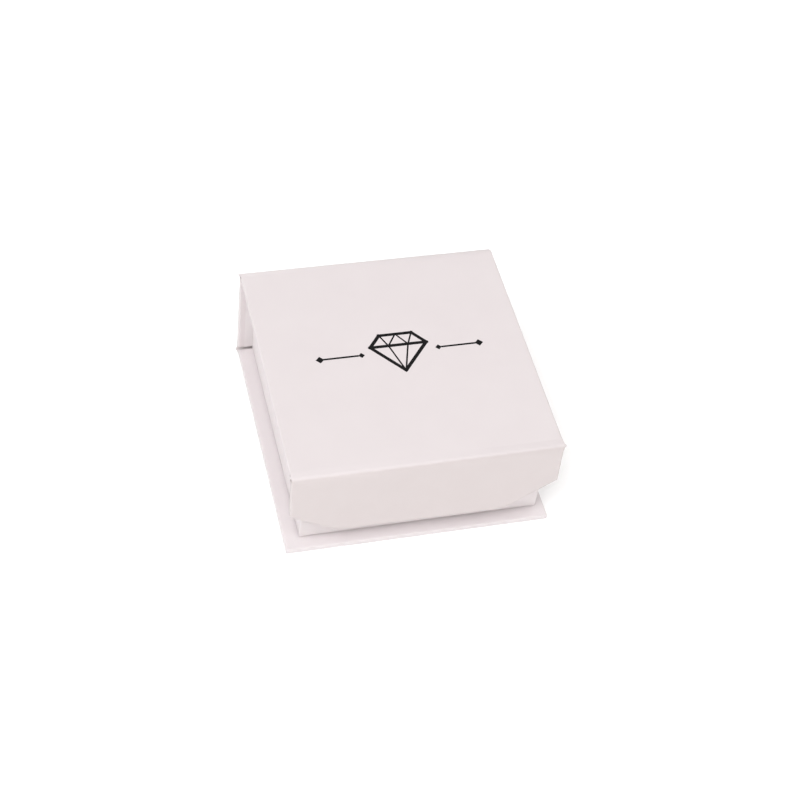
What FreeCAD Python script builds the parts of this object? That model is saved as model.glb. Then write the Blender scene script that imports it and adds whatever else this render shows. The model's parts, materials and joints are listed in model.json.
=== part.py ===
import FreeCAD, Part
import math
import os

# A book-style rigid gift box for jewellery, closed. Four greyboard panels (base, spine, lid, flap)
# are covered in paper and folded round a wrapped tray. The flap closes on magnets.
# Origin: middle of the footprint, on the table. +X to the right, -Y to the front, +Z up.
# All sizes are in millimetres.

# overall sizes of the closed box
case_width = 80.0
case_depth = 82.0  # front edge of the base panel to the back of the spine
case_height = 34.6  # table to the top of the lid

# board, paper and glue
board = 1.5  # greyboard of base, spine, lid and tray
flap_board = 2.0  # the flap's board is thicker, because it holds the magnets
paper = 0.15  # coated and laminated cover paper, and the liners
turn_in = 15.0  # cover paper folded over a panel's free edge onto its inner face
flap_turn_in = 7.0
liner_inset = 2.0  # a liner stops this far inside a panel's free edges
glue_height = 0.4  # glue that the tray stands on
glue_inset = 2.5  # how far the glue stops inside the tray's sides

# paper hinges and folds: the paper goes round the outer corner, and the boards stop short of it
hinge_clearance = 0.24  # between the lined boards that meet at a corner
lid_crease = 1.2  # outer radius of the paper at the lid's hinge
flap_crease = 0.9  # outer radius of the paper at the flap's hinge
foot_crease = 1.0  # outer radius of the paper at the spine's foot
foot_slot = 0.76  # open slot between the base panel and the spine's lower edge

# flap
flap_height = 25.8  # top of the lid to the flap's lower edge
flap_side_height = 16.9  # top of the lid to where the corner cuts begin
flap_cut_width = 14.2  # width of each cut-off corner
flap_setback = 0.2  # the flap's face stands this far behind the base panel's front edge

# tray
tray_left_inset = 4.6  # base panel's left edge to the tray's left wall
tray_right_inset = 2.8  # the tray is glued a little to the right
tray_front_inset = 4.0  # base panel's front edge to the tray's front wall
rim_clearance = 0.15  # between the tray's rim and the lid's liner
tray_turn_under = 12.0  # cover paper folded under the tray's floor
tape_leg = 7.0  # short of the steel discs; where it isn't, the discs' pockets are punched through it
tape_thickness = 0.1

# magnets in the flap and steel discs in the tray's front wall
magnet_diameter = 10.0
magnet_thickness = 1.6
disc_thickness = 1.0
magnet_spacing = 44.0
magnet_rise = 9.5  # middle of the magnets above the flap's lower edge
pocket_clearance = 0.1

# insert and lid pad
insert_height = 20.2  # floor liner to the insert's top
insert_clearance = 0.25
cover_thickness = 0.4
slit_width = 1.4
slit_depth = 12.0
ring_slit_length = 26.0
earring_slit_length = 6.0
earring_spacing = 26.0
earring_offset = 17.0  # behind the ring slit
notch_length = 9.0  # chain notches in the insert's back corners
notch_inset = 9.0
pad_thickness = 2.0
pad_margin = 6.0  # tray's inner walls to the pad's edge
pad_corner = 4.0

# where things are
half_width = case_width / 2
front = -case_depth / 2
back = case_depth / 2
top = case_height
panel = board + 2 * paper
lined_panel = panel + paper
flap_panel = flap_board + 2 * paper
lined_flap = flap_panel + paper
flap_face = front + flap_setback
base_end = back - lined_panel - hinge_clearance
spine_foot = panel + foot_slot
spine_top = top - lined_panel - hinge_clearance
lid_back = back - lined_panel - hinge_clearance
lid_front = flap_face + lined_flap + hinge_clearance
flap_top = top - lined_panel - hinge_clearance
flap_bottom = top - flap_height
tray_left = -half_width + tray_left_inset
tray_right = half_width - tray_right_inset
tray_front = front + tray_front_inset
tray_back = back - lined_panel
tray_bottom = panel + glue_height
tray_rim = top - lined_panel - rim_clearance
tray_floor = tray_bottom + paper + board + paper
insert_top = tray_floor + insert_height
magnet_z = flap_bottom + magnet_rise
wall = paper + board
lining = wall + paper
middle_x = (tray_left + tray_right) / 2
middle_y = (tray_front + tray_back) / 2


def box(x0, x1, y0, y1, z0, z1):
    """Solid block between two corners."""
    return Part.makeBox(x1 - x0, y1 - y0, z1 - z0, FreeCAD.Vector(x0, y0, z0))


def base_block(x0, x1, s0, s1, w0, w1):
    """Block of the base panel: s runs to the back, w runs up from the outer face."""
    return box(x0, x1, s0, s1, w0, w1)


def spine_block(x0, x1, s0, s1, w0, w1):
    """Block of the spine panel: s runs up, w runs forward from the outer face."""
    return box(x0, x1, back - w1, back - w0, s0, s1)


def lid_block(x0, x1, s0, s1, w0, w1):
    """Block of the lid panel: s runs to the back, w runs down from the outer face."""
    return box(x0, x1, s0, s1, top - w1, top - w0)


def tray_block(inset, z0, z1):
    """Block of the tray's plan, drawn in by inset on all four sides."""
    return box(tray_left + inset, tray_right - inset, tray_front + inset, tray_back - inset, z0, z1)


def cover(block, s0, s1, front_edge=0.0, front_turn=0.0):
    """Cover paper of a panel: outer face, side edges and turned-in strips.

    The front edge is covered too where front_edge and front_turn are given.
    """
    sheet = block(-half_width, half_width, s0, s1, 0, panel)
    inner = half_width - paper
    sheet = sheet.cut(block(-inner, inner, s0 + front_edge, s1, paper, paper + board))
    open_half = half_width - turn_in
    window = block(-open_half, open_half, s0 + front_turn, s1, paper + board, panel)
    return sheet.cut(window)


def liner(block, s0, s1, cover_sheet, low_lip, high_lip):
    """Liner of a panel: a sheet on the inner face, with lips over the board's hinge ends."""
    half = half_width - liner_inset
    sheet = block(-half, half, s0, s1, panel, lined_panel)
    open_half = half_width - turn_in
    sheet = sheet.fuse(block(-open_half, open_half, s0, s1, paper + board, panel))
    if low_lip:
        sheet = sheet.fuse(block(-half, half, s0, s0 + paper, paper, panel))
    if high_lip:
        sheet = sheet.fuse(block(-half, half, s1 - paper, s1, paper, panel))
    return sheet.cut(cover_sheet).removeSplitter()


def corner_strip(corner_y, corner_z, side_y, side_z, reach_y, reach_z, crease, depth):
    """Bent strip of paper round an outer corner of the box, as wide as the case.

    The outer corner is at corner_y, corner_z. side_y and side_z are the signs from the corner
    towards the inside. The strip lies depth inside the outer faces, follows them for reach_y and
    reach_z and goes round the corner in an arc.
    """

    def ring(offset, radius):
        """Inner or outer edge line, as a wire from the y leg to the z leg."""
        centre_y = corner_y + side_y * crease
        centre_z = corner_z + side_z * crease
        leg_z = corner_z + side_z * offset
        leg_y = corner_y + side_y * offset
        half_arc = radius * math.sqrt(0.5)
        start = FreeCAD.Vector(-half_width, corner_y + side_y * reach_y, leg_z)
        arc_start = FreeCAD.Vector(-half_width, centre_y, leg_z)
        arc_mid = FreeCAD.Vector(-half_width, centre_y - side_y * half_arc, centre_z - side_z * half_arc)
        arc_end = FreeCAD.Vector(-half_width, leg_y, centre_z)
        end = FreeCAD.Vector(-half_width, leg_y, corner_z + side_z * reach_z)
        arc = Part.Arc(arc_start, arc_mid, arc_end).toShape()
        edges = [Part.makeLine(start, arc_start), arc, Part.makeLine(arc_end, end)]
        return edges, start, end

    outer_edges, outer_start, outer_end = ring(depth, crease - depth)
    inner_edges, inner_start, inner_end = ring(depth + paper, crease - depth - paper)
    closing = [Part.makeLine(outer_start, inner_start), Part.makeLine(outer_end, inner_end)]
    wire = Part.Wire(Part.__sortEdges__(outer_edges + inner_edges + closing))
    return Part.Face(wire).extrude(FreeCAD.Vector(case_width, 0, 0))


def flap_prism(inset, w0, w1, upper=flap_top):
    """Prism of the flap's outline, drawn in by inset along its free edges.

    w runs back from the flap's outer face. The cut-off corners are drawn in along their normals.
    """
    cut_height = flap_height - flap_side_height
    slant = math.hypot(flap_cut_width, cut_height)
    side_x = half_width - inset
    side_z = top - flap_side_height + inset * (slant - cut_height) / flap_cut_width
    low_x = half_width - flap_cut_width - inset * (slant - flap_cut_width) / cut_height
    low_z = flap_bottom + inset
    right = [(low_x, low_z), (side_x, side_z), (side_x, upper)]
    left = [(-x, z) for x, z in reversed(right)]
    corners = [FreeCAD.Vector(x, flap_face + w0, z) for x, z in right + left]
    face = Part.Face(Part.makePolygon(corners + corners[:1]))
    return face.extrude(FreeCAD.Vector(0, w1 - w0, 0))


def disc(x, y, thickness, extra=0.0):
    """Upright round disc whose front face is at y."""
    radius = magnet_diameter / 2 + extra
    return Part.makeCylinder(radius, thickness, FreeCAD.Vector(x, y, magnet_z), FreeCAD.Vector(0, 1, 0))


def slit(x, y, length, turn):
    """Slit block in the insert, turned about the upright axis by turn degrees."""
    low_z = insert_top - slit_depth
    block = box(-length / 2, length / 2, -slit_width / 2, slit_width / 2, low_z, insert_top + 1)
    block.rotate(FreeCAD.Vector(0, 0, 0), FreeCAD.Vector(0, 0, 1), turn)
    block.translate(FreeCAD.Vector(x, y, 0))
    return block


parts = {}

# case: base and spine are covered by one stretch of paper that runs round the box's foot
parts["base_board"] = base_block(
    -half_width + paper, half_width - paper, front + paper, base_end, paper, paper + board
)
parts["spine_board"] = spine_block(
    -half_width + paper, half_width - paper, spine_foot, spine_top - paper, paper, paper + board
)
foot_fold = corner_strip(back, 0, -1, 1, back - base_end, spine_foot, foot_crease, 0)
base_cover = cover(base_block, front, base_end, paper, turn_in)
spine_cover = cover(spine_block, spine_foot, spine_top)
parts["base_and_spine_cover"] = base_cover.fuse([foot_fold, spine_cover]).removeSplitter()
parts["spine_liner"] = liner(spine_block, spine_foot, spine_top, parts["base_and_spine_cover"], False, True)

# lid
parts["lid_board"] = lid_block(
    -half_width + paper, half_width - paper, lid_front + paper, lid_back - paper, paper, paper + board
)
parts["lid_cover"] = cover(lid_block, lid_front, lid_back)
parts["lid_liner"] = liner(lid_block, lid_front, lid_back, parts["lid_cover"], True, True)

# flap, with two magnets in pockets that open towards the tray
flap_core = flap_prism(paper, paper, paper + flap_board, flap_top - paper)
magnet_y = flap_face + paper + flap_board - magnet_thickness
disc_y = tray_front + paper
for side, x in (("left", -magnet_spacing / 2), ("right", magnet_spacing / 2)):
    flap_core = flap_core.cut(disc(x, magnet_y, magnet_thickness, pocket_clearance))
    parts["flap_magnet_" + side] = disc(x, magnet_y, magnet_thickness)
    parts["tray_steel_disc_" + side] = disc(x, disc_y, disc_thickness)
parts["flap_board"] = flap_core
flap_cover = flap_prism(0, 0, flap_panel)
flap_cover = flap_cover.cut(flap_prism(paper, paper, paper + flap_board))
flap_cover = flap_cover.cut(flap_prism(flap_turn_in, paper + flap_board, flap_panel))
parts["flap_cover"] = flap_cover
flap_liner = flap_prism(liner_inset, flap_panel, lined_flap)
flap_liner = flap_liner.fuse(flap_prism(flap_turn_in, paper + flap_board, flap_panel))
lip_half = half_width - liner_inset
flap_lip = box(-lip_half, lip_half, flap_face + paper, flap_face + lined_flap, flap_top - paper, flap_top)
parts["flap_liner"] = flap_liner.fuse(flap_lip).cut(flap_cover).removeSplitter()

# paper hinges: the cover's outer ply and the liner's inner ply, glued together in the gap
parts["lid_hinge_cover_ply"] = corner_strip(
    back, top, -1, -1, back - lid_back, top - spine_top, lid_crease, 0
)
parts["lid_hinge_liner_ply"] = corner_strip(
    back, top, -1, -1, back - lid_back, top - spine_top, lid_crease, paper
)
parts["flap_hinge_cover_ply"] = corner_strip(
    flap_face, top, 1, -1, lid_front - flap_face, top - flap_top, flap_crease, 0
)
parts["flap_hinge_liner_ply"] = corner_strip(
    flap_face, top, 1, -1, lid_front - flap_face, top - flap_top, flap_crease, paper
)

# tray: one scored and folded board blank, taped at its corners, under one cover sheet
blank = tray_block(paper, tray_bottom + paper, tray_rim - paper)
blank = blank.cut(tray_block(wall, tray_bottom + wall, tray_rim))
plain_blank = blank
pockets = [disc(side * magnet_spacing / 2, disc_y, disc_thickness, pocket_clearance) for side in (-1, 1)]
tapes = []
low = tray_bottom + paper
high = tray_rim - paper
for side_x, wall_x in ((1, tray_left + paper), (-1, tray_right - paper)):
    for side_y, wall_y in ((1, tray_front + paper), (-1, tray_back - paper)):
        reach_x = wall_x + side_x * tape_leg
        reach_y = wall_y + side_y * tape_leg
        skin_x = wall_x + side_x * tape_thickness
        skin_y = wall_y + side_y * tape_thickness
        along_x = box(*sorted((wall_x, reach_x)), *sorted((wall_y, skin_y)), low, high)
        along_y = box(*sorted((wall_x, skin_x)), *sorted((wall_y, reach_y)), low, high)
        tapes.append(along_x.fuse(along_y).removeSplitter().cut(pockets))
parts["tray_corner_tapes"] = Part.Compound(tapes)
parts["tray_board"] = blank.cut(pockets).cut(tapes)

cavity = tray_block(lining, tray_bottom + wall, tray_rim)
underside = tray_block(tray_turn_under, tray_bottom, tray_bottom + paper)
parts["tray_cover"] = tray_block(0, tray_bottom, tray_rim).cut([cavity, plain_blank, underside])
parts["tray_floor_liner"] = tray_block(lining, tray_bottom + wall, tray_floor)
glue_back = base_end - glue_inset
glue_front = tray_front + glue_inset
glue = box(tray_left + glue_inset, tray_right - glue_inset, glue_front, glue_back, panel, tray_bottom)
bed = box(-half_width + turn_in, half_width - turn_in, front + turn_in, glue_back, paper + board, panel)
parts["tray_glue"] = glue.fuse([underside, bed]).removeSplitter()

# insert: a foam block under a flocked cover that hangs over its sides, both slit from above
cover_inset = lining + insert_clearance
cover_left = tray_left + cover_inset
cover_right = tray_right - cover_inset
cover_front = tray_front + cover_inset
cover_back = tray_back - cover_inset
foam = tray_block(cover_inset + cover_thickness, tray_floor, insert_top - cover_thickness)
flock = tray_block(cover_inset, tray_floor, insert_top).cut(foam)
slits = [slit(middle_x, middle_y, ring_slit_length, 0)]
notch_offset = (cover_right - cover_left) / 2 - notch_inset
for side in (-1, 1):
    earring_x = middle_x + side * earring_spacing / 2
    slits.append(slit(earring_x, middle_y + earring_offset, earring_slit_length, 0))
    slits.append(slit(middle_x + side * notch_offset, cover_back - notch_inset, notch_length, -45 * side))
parts["foam_block"] = foam.cut(slits)
parts["insert_cover"] = flock.cut(slits)

# thin foam pad on the lid's inner face, which hangs into the tray's mouth
pad_left = tray_left + lining + pad_margin
pad_right = tray_right - lining - pad_margin
pad_front = tray_front + lining + pad_margin
pad_back = tray_back - lining - pad_margin
pad_under = top - lined_panel - pad_thickness
pad = box(pad_left, pad_right, pad_front, pad_back, pad_under, pad_under + pad_thickness)
upright = [e for e in pad.Edges if abs(e.Vertexes[0].Z - e.Vertexes[1].Z) > pad_thickness / 2]
parts["lid_pad"] = pad.makeFillet(pad_corner, upright)

os.makedirs("parts", exist_ok=True)
for name, shape in parts.items():
    shape.exportStep(os.path.join("parts", name + ".step"))
    print(f"{name}: {len(shape.Solids)} solid(s), {shape.Volume:.1f} mm3, valid {shape.isValid()}")

# the hinge axes run along X: each lies inside its outer corner by the paper that the crease saves
lid_axis_inset = lid_crease * (1 - math.pi / 4)
flap_axis_inset = flap_crease * (1 - math.pi / 4)
print(f"lid hinge axis: y {back - lid_axis_inset:.4f}, z {top - lid_axis_inset:.4f}")
print(f"flap hinge axis: y {flap_face + flap_axis_inset:.4f}, z {top - flap_axis_inset:.4f}")
print(f"recess: x {cover_left:.2f} to {cover_right:.2f}, y {cover_front:.2f} to {cover_back:.2f}")
print(f"recess: z {insert_top:.2f} to {pad_under:.2f}, rim {tray_rim:.2f}")
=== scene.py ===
import json
import math

import bpy
import numpy as np
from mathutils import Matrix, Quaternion, Vector


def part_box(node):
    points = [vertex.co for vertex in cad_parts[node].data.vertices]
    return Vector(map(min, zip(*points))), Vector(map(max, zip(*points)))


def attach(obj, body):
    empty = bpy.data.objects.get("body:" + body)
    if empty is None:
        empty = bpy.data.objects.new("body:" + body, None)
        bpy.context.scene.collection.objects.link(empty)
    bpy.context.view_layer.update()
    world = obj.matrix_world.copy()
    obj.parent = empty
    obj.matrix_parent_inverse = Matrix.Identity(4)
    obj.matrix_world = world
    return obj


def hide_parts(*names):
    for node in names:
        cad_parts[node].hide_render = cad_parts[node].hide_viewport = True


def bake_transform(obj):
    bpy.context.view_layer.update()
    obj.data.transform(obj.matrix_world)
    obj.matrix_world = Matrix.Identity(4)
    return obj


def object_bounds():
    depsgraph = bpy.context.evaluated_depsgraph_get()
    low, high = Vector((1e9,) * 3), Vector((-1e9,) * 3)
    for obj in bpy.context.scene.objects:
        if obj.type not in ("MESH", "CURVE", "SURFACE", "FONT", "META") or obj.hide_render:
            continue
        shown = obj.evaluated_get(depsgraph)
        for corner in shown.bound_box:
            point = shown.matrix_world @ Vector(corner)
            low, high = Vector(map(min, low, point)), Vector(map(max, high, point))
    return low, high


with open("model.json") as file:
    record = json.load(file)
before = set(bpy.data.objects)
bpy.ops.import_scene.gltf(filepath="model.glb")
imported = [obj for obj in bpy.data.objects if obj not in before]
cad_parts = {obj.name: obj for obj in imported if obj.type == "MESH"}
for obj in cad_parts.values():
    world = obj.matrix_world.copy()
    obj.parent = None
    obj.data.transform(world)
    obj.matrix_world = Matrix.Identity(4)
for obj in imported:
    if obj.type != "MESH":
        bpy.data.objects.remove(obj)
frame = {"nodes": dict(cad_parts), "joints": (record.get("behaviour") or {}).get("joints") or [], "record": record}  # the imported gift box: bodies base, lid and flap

# A closed, paper-covered gift box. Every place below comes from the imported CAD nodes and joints.
# Lengths are in metres, +Z is up, -Y is the flap's side.
MM = 0.001
cad_low, cad_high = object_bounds()


def reach(node):
    """Lowest and highest corner of a CAD node, as numpy arrays."""
    low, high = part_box(node)
    return np.array(low), np.array(high)


def joint(name):
    """The frame's joint of that name."""
    return next(j for j in frame["joints"] if j["name"] == name)


# ---- sizes taken from the frame
half_width = cad_high.x
back, top = cad_high.y, cad_high.z
lid_low, lid_high = reach("lid_cover")
flap_low, flap_high = reach("flap_cover")
base_low = reach("base_and_spine_cover")[0]
board_high = reach("base_board")[1]
spine_low, spine_high = reach("spine_liner")
tray_low, tray_high = reach("tray_cover")
insert_low, insert_high = reach("insert_cover")
pad_low, pad_high = reach("lid_pad")
floor_low, floor_high = reach("tray_floor_liner")
panel = lid_high[2] - lid_low[2]
flap_panel = flap_high[1] - flap_low[1]
paper = floor_high[2] - floor_low[2]
wall = floor_low[0] - tray_low[0]
crease_share = 1 - math.pi / 4  # a hinge's axis lies inside its corner by this share of the crease
lid_crease = (back - joint("lid_hinge")["pos_m"][1]) / crease_share
flap_crease = (joint("flap_hinge")["pos_m"][1] - flap_low[1]) / crease_share

# ---- sizes of the paper work
edge_radius = 0.4 * MM  # paper round a board's edge
plan_radius = 0.2 * MM  # covered corners seen from above
turn_in = 15 * MM
flap_turn_in = 7 * MM
strip_edge = 0.2 * MM  # radius of the doubled paper at a hinge's ends
foot_crease = 1.0 * MM
fold_dent = 0.02 * MM  # how far a mitred turn-in dips along its fold
ear_width = 3 * MM  # how far from a strip's end its ear begins
foot_ears = (0.5 * MM, 0.35 * MM)  # how far the ears stand out, on the left and on the right
lid_ears = (0.6 * MM, -0.5 * MM)
flap_ears = (0, 0.6 * MM)
ply_gap = 0.02 * MM  # between the folded edge of a hinge's outer ply and its inner ply
liner_inset = 2 * MM  # how far the inner ply ends before the outer one
tray_corner = 0.3 * MM
tray_turn_under = 12 * MM
flap_drift = 0.7 * MM  # the flap was folded a little askew: its lower edge lies to the right,
flap_lift = 0.75 * MM  # and its right side hangs higher than its left
crooked_cut = (1.5 * MM, 1.4 * MM, 0.5 * MM)  # its right corner was cut deeper: inward, down and up
foot_droop = 0.38 * MM  # the tray's paper hangs down to the base panel at its corners
insert_crown = 0.7 * MM  # how far the insert's top swells above its edges
insert_corner, insert_edge = 1.5 * MM, 0.9 * MM  # radius of its corners from above, and of its top edges
insert_pull = 0.2 * MM  # how far its sides pull in between the corners
pad_crown = 0.35 * MM
pad_corner, pad_edge = 4 * MM, 0.7 * MM
pad_pull = 0.5 * MM
lip_sink = 0.03 * MM  # how deep the paper on a board's end lies behind the end of the cover
slit_depth = 2.2 * MM
slit_lip = 0.3 * MM  # width of the rounded lips of a slit
ink_height = 0.015 * MM
ink_step = 0.0005 * MM  # each stroke lies this much above the one before, so that no two share a plane

# ---- the insert's slits
ring_slit = 26 * MM
earring_slit, earring_x, earring_y = 6 * MM, 13 * MM, 17 * MM  # length, and place from the insert's middle
chain_slit, chain_inset = 9 * MM, 9 * MM  # length, and place from the insert's back corners

# ---- how finely shapes are drawn
sharp_angle = math.radians(50)
arc_points = 5  # on a quarter circle or a rounded corner
bend_points = 10  # on a hinge's bend
fold_points = 7  # on the half circle where a strip's edge turns under
liner_points = 9  # across the box on a hinge's inner ply
pad_edge_points = 6  # grid lines on a pad's rounded edge


# =====================================================================================
# mesh making
# =====================================================================================

def grid_faces(rows, columns, closed=False, first=0):
    """Quads of a grid whose vertex number is row times columns plus column.

    closed joins the last column to the first; first is added to every number.
    """
    row = np.arange(rows - 1)[:, None] * columns
    column = np.arange(columns if closed else columns - 1)[None, :]
    following = (column + 1) % columns
    above = row + columns
    quads = np.stack([row + column, row + following, above + following, above + column], -1)
    return quads.reshape(-1, 4) + first


def sharpen_open_edges(mesh):
    """Marks the edges of only one face as sharp, so that a sheet's cut edge doesn't bend its shading."""
    edge_of_corner = np.empty(len(mesh.loops), int)
    mesh.loops.foreach_get("edge_index", edge_of_corner)
    sharp = np.zeros(len(mesh.edges), bool)
    mesh.edges.foreach_get("use_edge_sharp", sharp)
    uses = np.bincount(edge_of_corner, minlength=len(mesh.edges))
    mesh.edges.foreach_set("use_edge_sharp", sharp | (uses == 1))


def make_piece(name, vertices, faces, material, thickness=0.0, flip=False):
    """Mesh object from vertices and faces, smooth but for edges above sharp_angle.

    thickness grows a wall against the normals, flip turns the faces over first.
    """
    mesh = bpy.data.meshes.new(name)
    loops = [tuple(reversed(face)) if flip else tuple(face) for face in faces]
    mesh.from_pydata(np.asarray(vertices, float).tolist(), [], loops)
    mesh.validate()
    mesh.shade_smooth()
    mesh.set_sharp_from_angle(angle=sharp_angle)
    sharpen_open_edges(mesh)
    mesh.materials.append(material)
    piece = bpy.data.objects.new(name, mesh)
    bpy.context.scene.collection.objects.link(piece)
    if thickness:
        solid = piece.modifiers.new("paper thickness", "SOLIDIFY")
        solid.thickness = thickness
        solid.offset = -1.0
        solid.use_even_offset = True
    return piece


def rounded(points, radius, closed=False):
    """Outline with each corner rounded by a parabola of arc_points points that touches both sides.

    The corner is the parabola's control point. It starts and ends one radius from it, and t runs evenly
    from 0 to 1.
    """
    points = np.asarray(points, float)
    before, after = np.roll(points, 1, 0), np.roll(points, -1, 0)
    t = np.linspace(0, 1, arc_points)[None, :, None]
    back_way = before - points
    on_way = after - points
    start = points + back_way / np.linalg.norm(back_way, axis=1)[:, None] * radius
    end = points + on_way / np.linalg.norm(on_way, axis=1)[:, None] * radius
    arcs = (1 - t) ** 2 * start[:, None]
    arcs = arcs + 2 * t * (1 - t) * points[:, None] + t**2 * end[:, None]
    if closed:
        return arcs.reshape(-1, 2)
    return np.vstack([points[:1], arcs[1:-1].reshape(-1, 2), points[-1:]])


def edge_path(thickness, turn):
    """Path of the cover paper round a free edge, as pairs of inset from the edge and depth from the face.

    Straight on the outer face, a quarter circle to the edge, straight down the edge, a quarter circle to the
    inner face, and the turned-in strip. A point three radii in keeps the flat faces' shading flat.
    """
    radius = edge_radius
    angle = np.linspace(0, math.pi / 2, arc_points)
    outer = np.c_[radius * (1 - np.sin(angle)), radius * (1 - np.cos(angle))]
    inner = np.c_[radius * (1 - np.cos(angle)), thickness - radius * (1 - np.sin(angle))]
    ends = [[3 * radius, thickness], [turn - radius, thickness], [turn, thickness]]
    return np.vstack([[[3 * radius, 0.0]], outer, inner, ends])


def plan_corner(inset):
    """Radius of a panel's corner seen from above: small round the edge, more on the turned-in paper."""
    insets = [0, edge_radius, 3 * edge_radius]
    return np.interp(inset, insets, [plan_radius, plan_radius / 4, 1.5 * plan_radius])


def swept_cover(place, start, end, thickness, turn):
    """Cover of a panel with two free sides: the edge path on the right, its mirror image on the left.

    The path is carried from start to end. place turns (x, along, depth) arrays into points. Returns
    vertices and faces.
    """
    path = edge_path(thickness, turn)
    right = np.c_[half_width - path[::-1, 0], path[::-1, 1]]
    left = np.c_[path[:, 0] - half_width, path[:, 1]]
    section = np.vstack([right, left])
    along = np.array([start, end])
    x = np.broadcast_to(section[:, 0], (2, len(section)))
    depth = np.broadcast_to(section[:, 1], (2, len(section)))
    s = np.broadcast_to(along[:, None], x.shape)
    return place(x, s, depth).reshape(-1, 3), grid_faces(2, len(section))


def ringed_cover(place, outline, thickness, turn):
    """Cover of a panel with a hinge at one end: one ring of the outline for each point of the edge path.

    outline(inset) gives (x, along) points, as many on the left as on the right. The outer face joins each
    point of the last ring with the one across from it. Turned-in corners dip a little along their mitre.
    Returns vertices and faces.
    """
    path = edge_path(thickness, turn)[::-1]
    rings = np.array([outline(inset) for inset in path[:, 0]])
    count = rings.shape[1]
    dip = np.sin(np.linspace(0, math.pi, arc_points))
    mitre = np.concatenate([[0], np.tile(dip, (count - 2) // arc_points), [0]])
    depth = path[:, 1][:, None] - fold_dent * mitre * (path[:, 1] == thickness)[:, None]
    points = place(rings[..., 0], rings[..., 1], depth).reshape(-1, 3)
    faces = grid_faces(len(path), count).tolist()
    last = (len(path) - 1) * count
    half = count // 2
    for i in range(half - 1):
        faces.append([last + i, last + i + 1, last + count - 2 - i, last + count - 1 - i])
    return points, faces


def end_lips(place, ends, thickness, turn):
    """Turned-in paper pressed down a board's hinge ends, beside the liner: one flat piece per end and side.

    Each is the outline of the edge path, closed on the outer face and drawn in by twice lip_sink. It lies
    lip_sink inside the end. ends holds (end, middle of the panel) for each end.
    """
    path = edge_path(thickness, turn)
    outline = np.vstack([path, [[turn, 0.0]]]) + [2 * lip_sink, 0]
    outline[:, 1] = np.clip(outline[:, 1], 2 * lip_sink, thickness - 2 * lip_sink)
    vertices, faces = [], []
    for end, middle in ends:
        along = end + math.copysign(lip_sink, middle - end)
        outward = place(0.0, end, 0.0) - place(0.0, middle, 0.0)
        for side in (-1, 1):
            x = side * (half_width - outline[:, 0])
            points = place(x, np.full(len(x), along), outline[:, 1])
            turning = np.cross(points, np.roll(points, -1, 0)).sum(0)
            order = np.arange(len(points)) + len(vertices)
            faces.append(order.tolist() if turning @ outward > 0 else order[::-1].tolist())
            vertices += points.tolist()
    return vertices, faces


def corner_profile(reach_a, reach_b, crease, depth):
    """Paper round an outer corner, as (distance along side a, distance along side b) from the corner.

    Straight at depth along side a, a quarter circle of radius crease minus depth, straight along side b.
    """
    angle = np.linspace(0, math.pi / 2, bend_points)
    radius = crease - depth
    arc = np.c_[crease - radius * np.sin(angle), crease - radius * np.cos(angle)]
    middle_a = (reach_a + crease) / 2
    middle_b = (reach_b + crease) / 2
    start = [[reach_a, depth], [middle_a, depth]]
    end = [[depth, middle_b], [depth, reach_b]]
    return np.vstack([start, arc, end])


def hinge_strip(corner_y, corner_z, side_y, side_z, reach_y, reach_z, crease, ears):
    """Paper strip round a corner of the case, with its side edges folded under.

    Across the box the paper follows its outer line, turns in a half circle at each end and returns under
    itself. An ear pushes an end outwards, most in the middle of the bend, as the square of a sine: ears
    holds the left and right push.
    """
    bend = corner_profile(reach_y, reach_z, crease, 0.0)
    under = corner_profile(reach_y, reach_z, crease, 2 * strip_edge)
    weight = np.sin(np.linspace(0, math.pi, len(bend))) ** 2
    angle = np.linspace(math.pi, 0, fold_points)
    across = np.concatenate([[half_width - turn_in], half_width - strip_edge + strip_edge * np.sin(angle)])
    share = np.concatenate([[1.0], (1 - np.cos(angle)) / 2])
    x = np.concatenate([across, -across[::-1]])
    share = np.concatenate([share, share[::-1]])
    fade = np.clip((np.abs(x) - (half_width - ear_width)) / ear_width, 0, 1) ** 2
    push = np.where(x < 0, -ears[0], ears[1]) * fade
    points = bend[:, None] * (1 - share)[None, :, None] + under[:, None] * share[None, :, None]
    along_x = x[None, :] + push[None, :] * weight[:, None]
    y = corner_y + side_y * points[..., 0]
    z = corner_z + side_z * points[..., 1]
    return np.stack([along_x, y, z], -1).reshape(-1, 3), grid_faces(len(bend), len(x))


def plain_strip(corner_y, corner_z, side_y, side_z, reach_y, reach_z, crease, depth, inset):
    """Paper strip round a corner of the case with plain cut ends, depth inside the outer faces."""
    bend = corner_profile(reach_y, reach_z, crease, depth)
    x = np.linspace(-(half_width - inset), half_width - inset, liner_points)
    y = np.repeat((corner_y + side_y * bend[:, 0])[:, None], len(x), 1)
    z = np.repeat((corner_z + side_z * bend[:, 1])[:, None], len(x), 1)
    points = np.stack([np.broadcast_to(x, y.shape), y, z], -1)
    return points.reshape(-1, 3), grid_faces(len(bend), len(x))


# =====================================================================================
# materials
# =====================================================================================

def material_nodes(name):
    """New node material: its tree, its shader and the object coordinates."""
    material = bpy.data.materials.new(name)
    material.use_nodes = True
    tree = material.node_tree
    shader = tree.nodes["Principled BSDF"]
    place = tree.nodes.new("ShaderNodeTexCoord").outputs["Object"]
    return material, tree, shader, place


def noise(tree, place, scale, detail=4.0, roughness=0.55):
    """Noise value of that scale, per metre."""
    node = tree.nodes.new("ShaderNodeTexNoise")
    node.inputs["Scale"].default_value = scale
    node.inputs["Detail"].default_value = detail
    node.inputs["Roughness"].default_value = roughness
    tree.links.new(place, node.inputs["Vector"])
    return node.outputs["Fac"]


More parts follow.
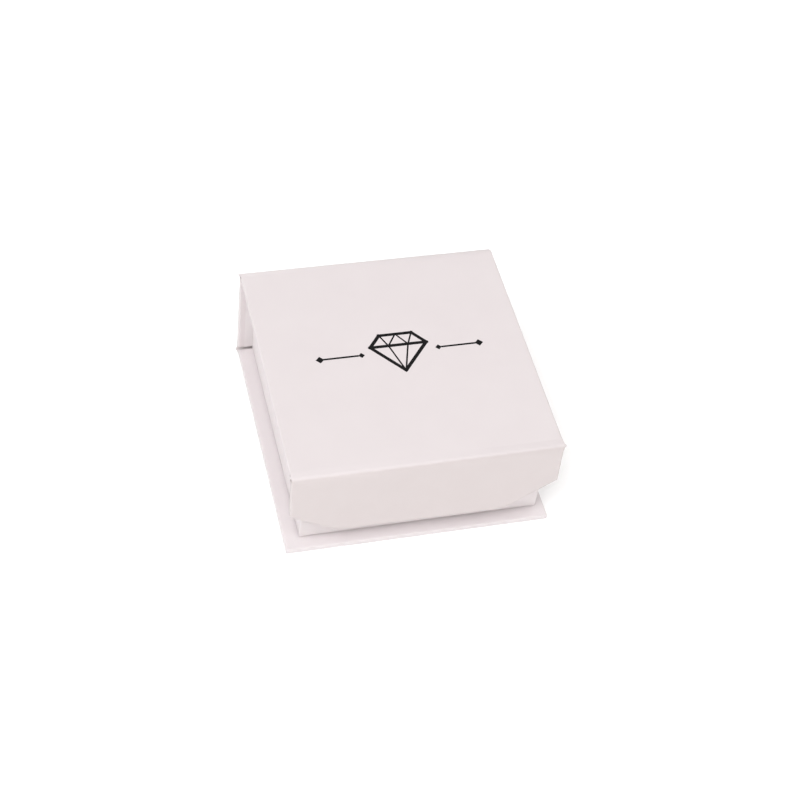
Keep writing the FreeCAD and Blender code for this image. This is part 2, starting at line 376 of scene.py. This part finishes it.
def spread(tree, value, low, high):
    """A 0 to 1 value spread between low and high, from the noise's usual range."""
    node = tree.nodes.new("ShaderNodeMapRange")
    node.inputs["From Min"].default_value = 0.3
    node.inputs["From Max"].default_value = 0.7
    node.inputs["To Min"].default_value = low
    node.inputs["To Max"].default_value = high
    tree.links.new(value, node.inputs["Value"])
    return node.outputs["Result"]


def tint(tree, value, dark, light):
    """Colour between dark and light by a noise value."""
    ramp = tree.nodes.new("ShaderNodeValToRGB")
    ramp.color_ramp.elements[0].position = 0.3
    ramp.color_ramp.elements[1].position = 0.7
    ramp.color_ramp.elements[0].color = (*dark, 1)
    ramp.color_ramp.elements[1].color = (*light, 1)
    tree.links.new(value, ramp.inputs["Fac"])
    return ramp.outputs["Color"]


def relief(tree, shader, heights):
    """Bump of several heights: each is (value, strength, distance in metres)."""
    normal = None
    for value, strength, distance in heights:
        bump = tree.nodes.new("ShaderNodeBump")
        bump.inputs["Strength"].default_value = strength
        bump.inputs["Distance"].default_value = distance
        tree.links.new(value, bump.inputs["Height"])
        if normal is not None:
            tree.links.new(normal, bump.inputs["Normal"])
        normal = bump.outputs["Normal"]
    tree.links.new(normal, shader.inputs["Normal"])


def paper_material(name, dark, light, roughness, grain, shaded_end=None):
    """Coated paper: clouds of tint, fine fibre grain in bump and roughness.

    With shaded_end, a second dark and light tint, the tint changes along the piece's attribute "fold":
    a painted shade down the fold where the second tint is darker.
    """
    material, tree, shader, place = material_nodes(name)
    clouds = noise(tree, place, 90, 3)
    fibre = noise(tree, place, 2600, 6, 0.65)
    colour = tint(tree, clouds, dark, light)
    if shaded_end:
        share = tree.nodes.new("ShaderNodeAttribute")
        share.attribute_name = "fold"
        mix = tree.nodes.new("ShaderNodeMix")
        mix.data_type = "RGBA"
        tree.links.new(share.outputs["Fac"], mix.inputs["Factor"])
        first, second, blended = mix.inputs[6], mix.inputs[7], mix.outputs[2]  # its colour sockets
        tree.links.new(colour, first)
        tree.links.new(tint(tree, clouds, *shaded_end), second)
        colour = blended
    tree.links.new(colour, shader.inputs["Base Color"])
    tree.links.new(spread(tree, fibre, roughness - 0.05, roughness + 0.05), shader.inputs["Roughness"])
    shader.inputs["Specular IOR Level"].default_value = 0.35
    relief(tree, shader, [(clouds, 0.25, 0.03 * MM), (fibre, grain, 0.02 * MM)])
    return material


def greyboard_material():
    """Recycled grey board: short dark and light fibres in pressed pulp."""
    material, tree, shader, place = material_nodes("greyboard")
    pulp = noise(tree, place, 1500, 8, 0.7)
    tree.links.new(tint(tree, pulp, (0.20, 0.18, 0.155), (0.42, 0.39, 0.35)), shader.inputs["Base Color"])
    shader.inputs["Roughness"].default_value = 0.95
    relief(tree, shader, [(pulp, 0.6, 0.05 * MM)])
    return material


def foam_material():
    """Open-cell foam: small round cells sunk into the face."""
    material, tree, shader, place = material_nodes("foam")
    cells = tree.nodes.new("ShaderNodeTexVoronoi")
    cells.inputs["Scale"].default_value = 2200
    tree.links.new(place, cells.inputs["Vector"])
    clouds = noise(tree, place, 300, 4)
    colour = tint(tree, clouds, (0.695, 0.668, 0.660), (0.72, 0.693, 0.685))
    tree.links.new(colour, shader.inputs["Base Color"])
    shader.inputs["Roughness"].default_value = 1.0
    relief(tree, shader, [(cells.outputs["Distance"], 0.5, 0.12 * MM)])
    return material


def flock_material():
    """Flocked velvet: a dense short pile with brushed patches and a soft sheen."""
    material, tree, shader, place = material_nodes("flock")
    pile = noise(tree, place, 5200, 5, 0.75)
    brushed = noise(tree, place, 130, 3)
    colour = tint(tree, brushed, (0.655, 0.622, 0.612), (0.685, 0.655, 0.645))
    tree.links.new(colour, shader.inputs["Base Color"])
    shader.inputs["Roughness"].default_value = 0.95
    shader.inputs["Sheen Weight"].default_value = 0.35
    shader.inputs["Sheen Roughness"].default_value = 0.4
    relief(tree, shader, [(brushed, 0.3, 0.15 * MM), (pile, 0.7, 0.10 * MM)])
    return material


def metal_material(name, dark, light, roughness):
    """Plated or plain metal with fine tumbling marks."""
    material, tree, shader, place = material_nodes(name)
    marks = noise(tree, place, 1800, 6, 0.6)
    tree.links.new(tint(tree, marks, dark, light), shader.inputs["Base Color"])
    tree.links.new(spread(tree, marks, roughness - 0.08, roughness + 0.08), shader.inputs["Roughness"])
    shader.inputs["Metallic"].default_value = 1.0
    relief(tree, shader, [(marks, 0.2, 0.01 * MM)])
    return material


def glue_material():
    """Hot-melt glue: cloudy, yellowish and half glossy."""
    material, tree, shader, place = material_nodes("glue")
    clouds = noise(tree, place, 400, 4)
    tree.links.new(tint(tree, clouds, (0.70, 0.62, 0.44), (0.84, 0.78, 0.62)), shader.inputs["Base Color"])
    shader.inputs["Roughness"].default_value = 0.35
    relief(tree, shader, [(clouds, 0.6, 0.15 * MM)])
    return material


def ink_material():
    """Printed black: dense ink with the paper's grain under it."""
    material, tree, shader, place = material_nodes("print_ink")
    grain = noise(tree, place, 2600, 6, 0.65)
    colour = tint(tree, grain, (0.003, 0.003, 0.003), (0.007, 0.006, 0.007))
    tree.links.new(colour, shader.inputs["Base Color"])
    tree.links.new(spread(tree, grain, 0.55, 0.65), shader.inputs["Roughness"])
    shader.inputs["Specular IOR Level"].default_value = 0.12
    relief(tree, shader, [(grain, 0.3, 0.02 * MM)])
    return material


cover_tints = ((0.652, 0.596, 0.603), (0.663, 0.608, 0.614))
# Painted shade: the flap's paper is the cover paper drawn a shade darker, for the light its front face
# misses.
flap_shaded_tints = ((0.602, 0.545, 0.543), (0.613, 0.556, 0.554))
cover_paper = paper_material("cover_paper", *cover_tints, 0.62, 0.35)
flap_shaded_paper = paper_material("flap_shaded_paper", *flap_shaded_tints, 0.62, 0.35)
# The flap's hinge strip fades from the cover tint to the flap's darker tint down its fold: painted shade.
flap_hinge_paper = paper_material("flap_hinge_paper", *cover_tints, 0.62, 0.35, shaded_end=flap_shaded_tints)
# Painted light: the base's paper is the cover paper drawn a shade lighter.
base_lit_paper = paper_material("base_lit_paper", (0.680, 0.630, 0.640), (0.691, 0.641, 0.651), 0.62, 0.35)
# Painted light: the tray's paper is the cover paper drawn a shade lighter, for light falling on its walls.
tray_lit_paper = paper_material("tray_lit_paper", (0.702, 0.650, 0.655), (0.713, 0.661, 0.666), 0.62, 0.35)
liner_paper = paper_material("liner_paper", (0.684, 0.641, 0.645), (0.695, 0.652, 0.656), 0.70, 0.50)
tape_paper = paper_material("tape_paper", (0.42, 0.29, 0.17), (0.52, 0.37, 0.23), 0.75, 0.70)
greyboard = greyboard_material()
foam = foam_material()
flock = flock_material()
glue = glue_material()
nickel = metal_material("magnet_nickel", (0.60, 0.585, 0.55), (0.70, 0.685, 0.65), 0.28)
steel = metal_material("steel", (0.48, 0.48, 0.49), (0.60, 0.60, 0.60), 0.40)
ink = ink_material()

SLOT_MATERIALS = {
    "cover_paper": cover_paper,
    "liner_paper": liner_paper,
    "greyboard": greyboard,
    "tape_paper": tape_paper,
    "glue": glue,
    "foam": foam,
    "flock": flock,
    "magnet_nickel": nickel,
    "steel": steel,
}


def finish_cad_nodes():
    """Gives each CAD node the material of its slot in the record."""
    for row in frame["record"]["subparts"]:
        node = frame["nodes"][row["node"]]
        node.data.materials.clear()
        node.data.materials.append(SLOT_MATERIALS[row["material_slot"]])


# =====================================================================================
# panels
# =====================================================================================

def lid_place(x, along, depth):
    """Lid panel: along runs to the back, depth down from the top."""
    return np.stack(np.broadcast_arrays(x, along, top - depth), -1)


def spine_place(x, along, depth):
    """Spine panel: along runs up, depth forward from the back."""
    return np.stack(np.broadcast_arrays(x, back - depth, along), -1)


def base_place(x, along, depth):
    """Base panel: along runs to the back, depth up from the table."""
    return np.stack(np.broadcast_arrays(x, along, depth), -1)


def flap_place(x, along, depth):
    """Flap panel: along runs up, depth back from the flap's face.

    It is askew in proportion to the way from the hinge: x grows by the drift, and the height by the lift
    times x over half the width.
    """
    share = (flap_high[2] - along) / (flap_high[2] - flap_low[2])
    x_askew = x + flap_drift * share
    z_askew = along + flap_lift * share * x / half_width
    return np.stack(np.broadcast_arrays(x_askew, flap_low[1] + depth, z_askew), -1)


def base_outline(inset):
    """Left side, front and right side of the base panel, drawn in by inset, with small round corners."""
    x, y = half_width - inset, base_low[1] + inset
    return rounded([(-x, board_high[1]), (-x, y), (x, y), (x, board_high[1])], plan_corner(inset))


def flap_corners():
    """Ends of the flap's cut-off corner, read off its CAD node: (x, z) on the side and on the lower edge."""
    points = np.array([v.co for v in frame["nodes"]["flap_cover"].data.vertices])
    near = 0.01 * MM
    side = points[points[:, 0] > flap_high[0] - near]
    low = points[points[:, 2] < flap_low[2] + near]
    return (side[:, 0].max(), side[:, 2].min()), (low[:, 0].max(), flap_low[2])


def cut_corner(inset, inward=0.0, down=0.0, up=0.0):
    """Ends of a cut-off corner drawn in by inset: (x, z) on the lower edge and on the upright side.

    The cut is the line between its two ends, moved in along its normal and met with the moved sides.
    """
    (side_x, side_z), (low_x, low_z) = flap_corners()
    wide, high = side_x - low_x + inward, side_z + up - low_z + down
    slant = math.hypot(wide, high)
    side = (side_x - inset, side_z + up + inset * (slant - high) / wide)
    low = (low_x - inward - inset * (slant - wide) / high, low_z - down + inset)
    return low, side


def flap_outline(inset):
    """Free edges of the flap drawn in by inset, from the hinge on the left to the hinge on the right."""
    hinge = (half_width - inset, flap_high[2])
    left = [*cut_corner(inset), hinge]
    right = [*cut_corner(inset, *crooked_cut), hinge]
    return rounded([(-x, z) for x, z in reversed(left)] + right, plan_corner(inset))


def end_lip_pieces():
    """Paper on the hinge ends of the four boards."""
    both_spine_ends = [(spine_low[2], top / 2), (spine_high[2], top / 2)]
    both_lid_ends = [(lid_low[1], 0), (lid_high[1], 0)]
    panels = (
        ("base", "base", base_place, [(board_high[1], 0)], panel, turn_in, cover_paper),
        ("spine", "base", spine_place, both_spine_ends, panel, turn_in, cover_paper),
        ("lid", "lid", lid_place, both_lid_ends, panel, turn_in, cover_paper),
        ("flap", "flap", flap_place, [(flap_high[2], top / 2)], flap_panel, flap_turn_in, flap_shaded_paper),
    )
    for name, body, place, ends, thickness, turn, paper_kind in panels:
        points, faces = end_lips(place, ends, thickness, turn)
        piece = make_piece(name + "_end_paper", points, faces, paper_kind, paper / 2)
        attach(piece, body)


def lid_cover_piece():
    """Cover paper of the lid panel."""
    points, faces = swept_cover(lid_place, lid_low[1], lid_high[1], panel, turn_in)
    piece = make_piece("lid_cover_paper", points, faces, cover_paper, paper, flip=True)
    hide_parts("lid_cover")
    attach(piece, "lid")


def flap_cover_piece():
    """Cover paper of the flap."""
    points, faces = ringed_cover(flap_place, flap_outline, flap_panel, flap_turn_in)
    # The flap's darker paper is painted shade on its front face.
    piece = make_piece("flap_cover_paper", points, faces, flap_shaded_paper, paper)
    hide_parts("flap_cover", "flap_board")
    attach(piece, "flap")


def case_cover_pieces():
    """Cover paper of the base, of the spine and of the fold between them."""
    made = []
    points, faces = ringed_cover(base_place, base_outline, panel, turn_in)
    # The base's lighter paper is painted light.
    made.append(make_piece("base_cover_paper", points, faces, base_lit_paper, paper, flip=True))
    points, faces = swept_cover(spine_place, spine_low[2], spine_high[2], panel, turn_in)
    made.append(make_piece("spine_cover_paper", points, faces, cover_paper, paper))
    reach_y = back - board_high[1]
    points, faces = hinge_strip(back, 0, -1, 1, reach_y, spine_low[2], foot_crease, foot_ears)
    made.append(make_piece("foot_fold_paper", points, faces, cover_paper, paper))
    for piece in made:
        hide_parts("base_and_spine_cover")
        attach(piece, "base")


def mark_fold(piece, share):
    """Stores the attribute "fold": the share of the way down the fold, eased at both ends by t^2 (3 - 2t)."""
    t = np.clip(share, 0, 1)
    attribute = piece.data.attributes.new("fold", "FLOAT", "POINT")
    attribute.data.foreach_set("value", t**2 * (3 - 2 * t))


def hinge_pieces():
    """Outer and inner ply of the lid's hinge and of the flap's hinge."""
    lid_start = (0, back, spine_high[2])
    lid_end = (0, lid_high[1], top)
    lid_reach = (back - lid_high[1], top - spine_high[2])
    flap_start = (0, lid_low[1], top)
    flap_end = (0, flap_low[1], flap_high[2])
    flap_reach = (lid_low[1] - flap_low[1], top - flap_high[2])
    inner = 2 * strip_edge + ply_gap
    hinges = (
        ("lid", "base", "lid", back, -1, lid_reach, lid_crease, lid_ears, lid_start, lid_end),
        ("flap", "lid", "flap", flap_low[1], 1, flap_reach, flap_crease, flap_ears, flap_start, flap_end),
    )
    for name, still, moving, corner_y, side_y, sides, crease, ears, start, end in hinges:
        at_back = side_y < 0
        points, faces = hinge_strip(corner_y, top, side_y, -1, *sides, crease, ears)
        # At the flap the outer ply's tint darkens down the fold: painted shade.
        outer_paper = cover_paper if at_back else flap_hinge_paper
        ply = make_piece(
            name + "_hinge_paper", points, faces, outer_paper, paper, flip=at_back
        )
        # The fold share steers the flap hinge's painted shade.
        mark_fold(ply, (top - points[:, 2]) / crease)
        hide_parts(name + "_hinge_cover_ply")
        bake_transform(ply)
        points, faces = plain_strip(corner_y, top, side_y, -1, *sides, crease, inner, liner_inset)
        ply = make_piece(
            name + "_hinge_liner", points, faces, liner_paper, paper, flip=not at_back
        )
        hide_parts(name + "_hinge_liner_ply")
        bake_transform(ply)


# =====================================================================================
# tray, insert, lid pad and print
# =====================================================================================

def tray_ring(inset):
    """The tray's outline from above, drawn in by inset, and how close each point is to a corner, from 0 to 1.

    Each corner has a round of arc_points points and three more along each side.
    """
    low, high = tray_low[:2] + inset, tray_high[:2] - inset
    corners = np.array([(low[0], low[1]), (high[0], low[1]), (high[0], high[1]), (low[0], high[1])])
    arcs = rounded(corners, tray_corner, closed=True).reshape(4, arc_points, 2)
    away = np.array([3.0, 2.0, 1.1]) * MM
    ring, close = [], []
    for i in range(4):
        back_way = corners[i - 1] - corners[i]
        on_way = corners[(i + 1) % 4] - corners[i]
        ring.append(corners[i] + back_way / np.linalg.norm(back_way) * away[:, None])
        ring.append(arcs[i])
        ring.append(corners[i] + on_way / np.linalg.norm(on_way) * away[::-1, None])
        close += [0, 0.35, 0.9] + [1] * arc_points + [0.9, 0.35, 0]
    return np.vstack(ring), np.array(close)


def tray_cover_piece():
    """Cover paper of the tray: turned under at the foot, up the walls, round the rim and down to the floor.

    Rings of the outline follow that path. At the corners the foot hangs down to the base panel.
    """
    foot, rim = tray_low[2], tray_high[2]
    radius = edge_radius
    angle = np.linspace(0, math.pi / 2, arc_points)
    small, big = radius * (1 - np.sin(angle)), radius * (1 - np.cos(angle))
    path = np.vstack([
        [[tray_turn_under, foot], [3 * radius, foot]],
        np.c_[small, foot + big],
        [[0, foot + 3 * radius], [0, rim - 3 * radius]],
        np.c_[big, rim - small],
        np.c_[wall - small, rim - big],
        [[wall, rim - 3 * radius], [wall, floor_low[2]]],
    ])
    vertices = []
    for inset, height in path:
        ring, close = tray_ring(inset)
        near_foot = np.clip(1 - (height - foot) / (3 * radius), 0, 1)
        near_edge = np.clip(1 - inset / (5 * radius), 0, 1)
        vertices.append(np.c_[ring, height - foot_droop * near_foot * near_edge * close])
    faces = grid_faces(len(path), len(vertices[0]), closed=True)
    # The tray's lighter paper is painted light on its walls.
    piece = make_piece("tray_cover_paper", np.vstack(vertices), faces, tray_lit_paper, paper)
    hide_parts("tray_cover")
    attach(piece, "base")


def pad_lines(low, high, radius, spacing, fine):
    """Grid lines across a pad: close at its rounded edges and evenly spaced between.

    fine holds (middle, half length, step) of each stretch with closer lines. Lines nearer than least_gap
    merge.
    """
    least_gap = 0.04 * MM
    edge = radius * (1 - np.cos(np.linspace(0, math.pi / 2, pad_edge_points)))
    sets = [low + edge, high - edge, np.arange(low + radius, high - radius, spacing)]
    sets += [np.arange(middle - half, middle + half, step) for middle, half, step in fine]
    lines = np.sort(np.concatenate(sets))
    keep = np.concatenate([[True], np.diff(lines) > least_gap])
    lines = lines[keep]
    lines[-1] = high
    return lines


def crowned_pad(low, high, x_lines, y_lines, corner, radius, crown, pull, hollow):
    """Closed pad with a swelling top: returns vertices and faces, with up as the crowned side.

    Height is the flat top plus crown times (1 - u^2)(1 - v^2), with u and v from -1 to 1 across the pad,
    less a quarter round of the edge radius near the sides, less hollow(x, y). The sides pull in by pull
    between the corners. Squares round each corner's centre become circles, so the corners are round from
    above.
    """
    x, y = np.meshgrid(x_lines, y_lines)
    middle, half = (low + high) / 2, (high - low) / 2
    u, v = (x - middle[0]) / half[0], (y - middle[1]) / half[1]
    to_side = np.minimum(half[0] - np.abs(x - middle[0]), half[1] - np.abs(y - middle[1]))
    inside = np.clip(radius - to_side, 0, radius)
    height = high[2] + crown * (1 - u**2) * (1 - v**2) - radius + np.sqrt(radius**2 - inside**2)
    height = height - hollow(x, y)
    out_x = np.clip(np.abs(x - middle[0]) - (half[0] - corner), 0, None)
    out_y = np.clip(np.abs(y - middle[1]) - (half[1] - corner), 0, None)
    length = np.hypot(out_x, out_y)
    shrink = np.where(length > 0, np.maximum(out_x, out_y) / np.where(length > 0, length, 1), 1)
    new_x = x - np.sign(x - middle[0]) * out_x * (1 - shrink) - pull * u * np.abs(u) ** 3 * (1 - v**2)
    new_y = y - np.sign(y - middle[1]) * out_y * (1 - shrink) - pull * v * np.abs(v) ** 3 * (1 - u**2)
    top_points = np.stack([new_x, new_y, height], -1).reshape(-1, 3)
    rows, columns = x.shape
    number = np.arange(rows * columns).reshape(rows, columns)
    rim = np.concatenate([number[0, :-1], number[:-1, -1], number[-1, :0:-1], number[:0:-1, 0]])
    foot = top_points[rim].copy()
    foot[:, 2] = low[2]
    count, first = len(rim), rows * columns
    following = (np.arange(count) + 1) % count
    sides = np.stack([rim, np.arange(count) + first, following + first, rim[following]], -1)
    faces = grid_faces(rows, columns).tolist() + sides.tolist()
    faces.append((np.arange(count)[::-1] + first).tolist())
    return np.vstack([top_points, foot]), faces


def insert_slits():
    """The insert's slits as (x, y, length, turn in degrees).

    One is for a ring, two are for earrings and two, across the back corners, for a chain.
    """
    middle = (insert_low + insert_high) / 2
    chain_x = insert_high[0] - chain_inset - middle[0]
    chain_y = insert_high[1] - chain_inset
    slits = [(middle[0], middle[1], ring_slit, 0)]
    for side in (-1, 1):
        slits.append((middle[0] + side * earring_x, middle[1] + earring_y, earring_slit, 0))
        slits.append((middle[0] + side * chain_x, chain_y, chain_slit, -45 * side))
    return slits


def slit_hollow(x, y):
    """Depth of the slits at x, y: slit_depth on a slit's line, times exp(-(distance / lip)^1.5) beside it."""
    depth = np.zeros_like(x)
    for place_x, place_y, length, turn in insert_slits():
        turn = math.radians(turn)
        along = (x - place_x) * math.cos(turn) + (y - place_y) * math.sin(turn)
        across = (y - place_y) * math.cos(turn) - (x - place_x) * math.sin(turn)
        distance = np.hypot(np.clip(np.abs(along) - length / 2, 0, None), across)
        depth = np.maximum(depth, slit_depth * np.exp(-((distance / slit_lip) ** 1.5)))
    return depth


def insert_piece():
    """Flocked cover of the insert: a crowned pad with soft-lipped slits, down to the tray's floor.

    The grid lines lie close together at the slits' lines and ends, and over the slanting slits.
    """
    fine_x, fine_y = [], []
    for place_x, place_y, length, turn in insert_slits():
        if turn:
            fine_x.append((place_x, 4 * MM, 0.2 * MM))
            fine_y.append((place_y, 4 * MM, 0.2 * MM))
        else:
            fine_x += [(place_x + end * length / 2, 0.8 * MM, 0.15 * MM) for end in (-1, 1)]
            fine_y.append((place_y, 1.1 * MM, 0.1 * MM))
    spacing = 0.9 * MM
    x_lines = pad_lines(insert_low[0], insert_high[0], insert_edge, spacing, fine_x)
    y_lines = pad_lines(insert_low[1], insert_high[1], insert_edge, spacing, fine_y)
    points, faces = crowned_pad(
        insert_low, insert_high, x_lines, y_lines,
        insert_corner, insert_edge, insert_crown, insert_pull, slit_hollow,
    )
    piece = make_piece("insert_flocked_cover", points, faces, flock)
    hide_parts("insert_cover")
    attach(piece, "base")


def lid_pad_piece():
    """Thin foam pad under the lid, crowned downwards, with a few more grid lines along its left side."""
    spacing = 2 * MM
    x_lines = pad_lines(pad_low[0], pad_high[0], pad_edge, spacing, [])
    y_lines = pad_lines(pad_low[1], pad_high[1], pad_edge, spacing, [])
    x_lines = np.union1d(x_lines, pad_low[0] + np.linspace(0.7, 4, 7) * MM)
    points, faces = crowned_pad(
        pad_low, pad_high, x_lines, y_lines, pad_corner, pad_edge, pad_crown, pad_pull, lambda x, y: 0 * x
    )
    points[:, 2] = pad_low[2] + pad_high[2] - points[:, 2]
    piece = make_piece("lid_foam_pad", points, faces, foam, flip=True)
    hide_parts("lid_pad")
    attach(piece, "lid")


def stroke_quads(lines, width):
    """Flat strokes: each line (x, y, x, y) becomes a quad of that width, half a width longer at each end."""
    lines = np.array(lines, float) * MM
    start, end = lines[:, :2], lines[:, 2:]
    way = (end - start) / np.linalg.norm(end - start, axis=1)[:, None] * width / 2
    side = np.c_[-way[:, 1], way[:, 0]]
    return np.stack([start - way - side, end + way - side, end + way + side, start - way + side], 1)


def ornament_piece():
    """Print on the lid: a plain faceted gem between two rules with lozenge ends."""
    outline = [(-8.6, 2.6, -5.0, 7.0), (-5.0, 7.0, 5.0, 7.0), (5.0, 7.0, 8.6, 2.6), (8.6, 2.6, 0, -7.6)]
    outline += [(0, -7.6, -8.6, 2.6), (-8.6, 2.6, 8.6, 2.6)]
    facets = [(-5.0, 7.0, -3.0, 2.6), (-3.0, 2.6, 0, 7.0), (0, 7.0, 3.0, 2.6), (3.0, 2.6, 5.0, 7.0)]
    facets += [(-3.0, 2.6, 0, -7.6), (3.0, 2.6, 0, -7.6)]
    rules = [(side * 13.0, 0, side * 23.5, 0) for side in (-1, 1)]
    lozenges = []
    for x, half in ((-24.4, 1.3), (-11.8, 1.0), (11.8, 1.0), (24.4, 1.3)):
        lozenges.append([(x - half, 0), (x, -half), (x + half, 0), (x, half)])
    quads = [stroke_quads(outline, 1.1 * MM), stroke_quads(facets, 0.5 * MM), stroke_quads(rules, 0.65 * MM)]
    quads.append(np.array(lozenges) * MM)
    flat = np.vstack(quads).reshape(-1, 2) + np.array([1.3, 2.0]) * MM
    stroke = np.arange(len(flat)) // 4
    points = np.c_[flat, top + ink_height + ink_step * stroke]
    faces = np.arange(len(points)).reshape(-1, 4)
    piece = make_piece("lid_print", points, faces, ink, ink_height)
    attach(piece, "lid")


# =====================================================================================
# camera, light and floor
# =====================================================================================

def direction(azimuth_deg, elevation_deg):
    """Unit vector from the box, in degrees: azimuth 0 is the flap's side, 90 the right, elevation is up."""
    azimuth, elevation = math.radians(azimuth_deg), math.radians(elevation_deg)
    level = math.cos(elevation)
    return Vector((math.sin(azimuth) * level, -math.cos(azimuth) * level, math.sin(elevation)))


def add_camera():
    """Camera at the front left, above, turned a little about its own axis."""
    aim = Vector((1.9 * MM, -2.4 * MM, 17.3 * MM))
    way = direction(-19.92, 48.78)
    distance, roll_deg = 0.5323, 8.50
    data = bpy.data.cameras.new("camera")
    data.sensor_width = 36.0
    data.lens = 79.03
    data.clip_start, data.clip_end = 0.02, 20
    camera = bpy.data.objects.new("camera", data)
    camera.location = aim + way * distance
    camera.rotation_mode = "QUATERNION"
    roll = Quaternion((0, 0, 1), math.radians(roll_deg))
    camera.rotation_quaternion = (-way).to_track_quat("-Z", "Y") @ roll
    bpy.context.scene.collection.objects.link(camera)
    bpy.context.scene.camera = camera


def add_light(name, azimuth_deg, elevation_deg, power, colour):
    """Square soft light of that power in watts, pointed at the box's place on the table."""
    distance, size = 1.6, 0.8
    way = direction(azimuth_deg, elevation_deg)
    data = bpy.data.lights.new(name, "AREA")
    data.shape = "SQUARE"
    data.size = size
    data.energy = power
    data.color = colour
    light = bpy.data.objects.new(name, data)
    light.location = way * distance
    light.rotation_euler = (-way).to_track_quat("-Z", "Y").to_euler()
    bpy.context.scene.collection.objects.link(light)


def backdrop_world():
    """The room: it gives the box only a faint pale light, and looks white behind the floor's edge."""
    world = bpy.data.worlds.new("studio")
    world.use_nodes = True
    tree = world.node_tree
    surround = tree.nodes["Background"]
    surround.inputs["Color"].default_value = (1.0, 0.99, 0.985, 1)
    surround.inputs["Strength"].default_value = 0.02
    backdrop = tree.nodes.new("ShaderNodeBackground")
    backdrop.inputs["Color"].default_value = (1, 1, 1, 1)
    backdrop.inputs["Strength"].default_value = 1.0
    seen = tree.nodes.new("ShaderNodeLightPath")
    choice = tree.nodes.new("ShaderNodeMixShader")
    tree.links.new(seen.outputs["Is Camera Ray"], choice.inputs["Fac"])
    tree.links.new(surround.outputs["Background"], choice.inputs[1])
    tree.links.new(backdrop.outputs["Background"], choice.inputs[2])
    tree.links.new(choice.outputs["Shader"], tree.nodes["World Output"].inputs["Surface"])
    bpy.context.scene.world = world


def add_floor():
    """A round pale floor that ends before the lamps' light fades: its rim points lie on one circle."""
    mesh = bpy.data.meshes.new("floor")
    radius = 1.0
    turns = np.linspace(0, 2 * math.pi, 96, endpoint=False)
    rim = radius * np.c_[np.cos(turns), np.sin(turns), 0 * turns]
    mesh.from_pydata(rim.tolist(), [], [range(len(rim))])
    material, tree, shader, place = material_nodes("floor_white")
    clouds = noise(tree, place, 3, 2)
    colour = tint(tree, clouds, (0.955, 0.955, 0.955), (0.96, 0.96, 0.96))
    tree.links.new(colour, shader.inputs["Base Color"])
    shader.inputs["Roughness"].default_value = 0.9
    shader.inputs["Emission Color"].default_value = (1, 1, 1, 1)
    shader.inputs["Emission Strength"].default_value = 0.06
    mesh.materials.append(material)
    floor = bpy.data.objects.new("floor", mesh)
    floor.location = (0, 0, -0.02 * MM)
    bpy.context.scene.collection.objects.link(floor)


def add_studio():
    """A pale room and floor, and a ring of soft lights that reach under the flap and the lid."""
    backdrop_world()
    add_floor()
    white, cool, warm = (1, 1, 1), (0.985, 1, 1), (1, 0.985, 0.97)
    lights = (
        ("key", -45, 62, 13.5, white),
        ("low_left", -45, 25, 7.0, cool),
        ("left", -90, 25, 6.0, cool),
        ("front", 0, 42, 4.6, warm),
        ("front_right", 45, 42, 8.4, warm),
        ("back_right", 135, 42, 6.5, white),
        ("back", 180, 22, 5.4, white),
        ("back_left", -135, 42, 2.6, white),
    )
    for name, azimuth_deg, elevation_deg, power, colour in lights:
        add_light(name, azimuth_deg, elevation_deg, power, colour)
    bpy.context.scene.view_settings.view_transform = "Standard"


# =====================================================================================
# build
# =====================================================================================

finish_cad_nodes()
lid_cover_piece()
flap_cover_piece()
case_cover_pieces()
end_lip_pieces()
hinge_pieces()
tray_cover_piece()
insert_piece()
lid_pad_piece()
ornament_piece()
add_camera()
add_studio()
